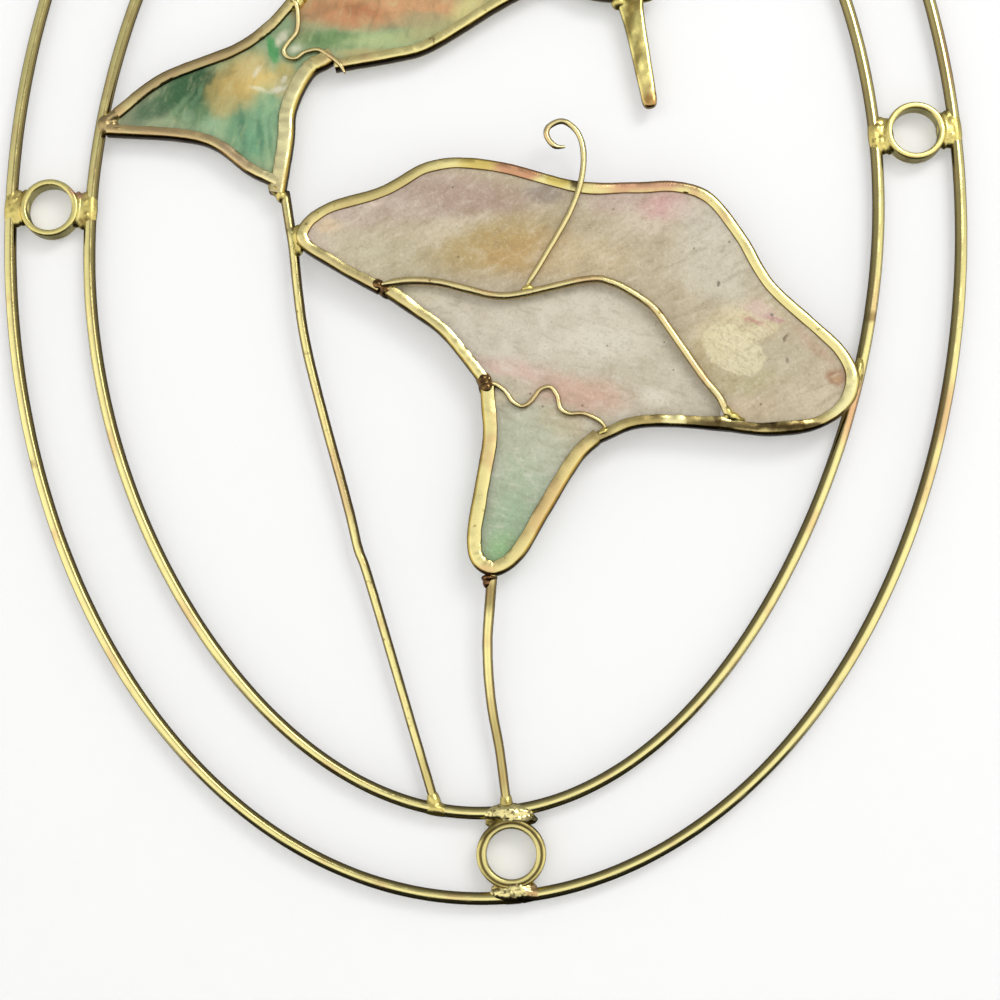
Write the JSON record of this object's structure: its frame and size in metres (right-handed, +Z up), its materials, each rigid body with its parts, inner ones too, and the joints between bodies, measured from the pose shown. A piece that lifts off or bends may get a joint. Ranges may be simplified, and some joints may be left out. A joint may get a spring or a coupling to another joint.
{
  "type": "capiz shell suncatcher",
  "caption": "Oval hanging suncatcher of brass wire with a painted shell hummingbird and flower edged in folded brass strip.",
  "frame": {"origin": "where the hook bears, at the inside top of the hanging loop", "axes": "+Z up, +X to the right as seen from the front, -Y towards the viewer"},
  "size_m": [0.1962, 0.0079, 0.2882],
  "materials": {
    "oval_wire": "bright drawn brass wire with darker tarnish on the shaded side and coppery patches",
    "soldered_rings": "brass rings under lumpy brass solder, bright on top and dark in the pits",
    "brass_strip": "folded brass strip, satin, dented, with coppery and brown soldered joints",
    "stem_wire": "brass wire with coppery tarnish",
    "fine_wire": "thin brass wire, bright along the top",
    "petal_shell": "translucent shell sheet, pearly, stained mauve, pink, ochre and grey-green",
    "lower_shell": "translucent shell sheet, pearly pale grey, coral pink at the throat and green on the calyx",
    "bird_shell": "translucent shell sheet, painted green, ochre and orange with bare pearly flecks",
    "wing_shell": "translucent shell sheet, painted soft green, ochre and cream"
  },
  "bodies": {
    "root": {"outer_oval": "oval_wire", "inner_oval": "oval_wire", "hanging_loop": "soldered_rings", "link_ring_left": "soldered_rings", "link_ring_right": "soldered_rings", "link_ring_foot": "soldered_rings", "link_ring_head": "soldered_rings", "upper_petal": "petal_shell", "lower_petal_and_calyx": "lower_shell", "petal_edging": "brass_strip", "lip_edging": "brass_strip", "calyx_edging": "brass_strip", "cheek_edging": "brass_strip", "flower_stem": "stem_wire", "long_stem": "stem_wire", "bird_body": "bird_shell", "tail_top_edging": "brass_strip", "back_edging": "brass_strip", "belly_edging": "brass_strip", "tail_back_edging": "brass_strip", "tail_foot_edging": "brass_strip", "beak": "brass_strip", "rear_wing": "wing_shell", "fore_wing": "wing_shell", "rear_wing_edging": "brass_strip", "fore_wing_edging": "brass_strip", "petal_wire": "fine_wire", "calyx_wire": "fine_wire", "stamen_wire": "fine_wire", "rump_wire": "fine_wire", "rear_wing_feather_wire_1": "fine_wire", "rear_wing_feather_wire_2": "fine_wire", "fore_wing_feather_wire_1": "fine_wire", "fore_wing_feather_wire_2": "fine_wire"}
  },
  "joints": []
}
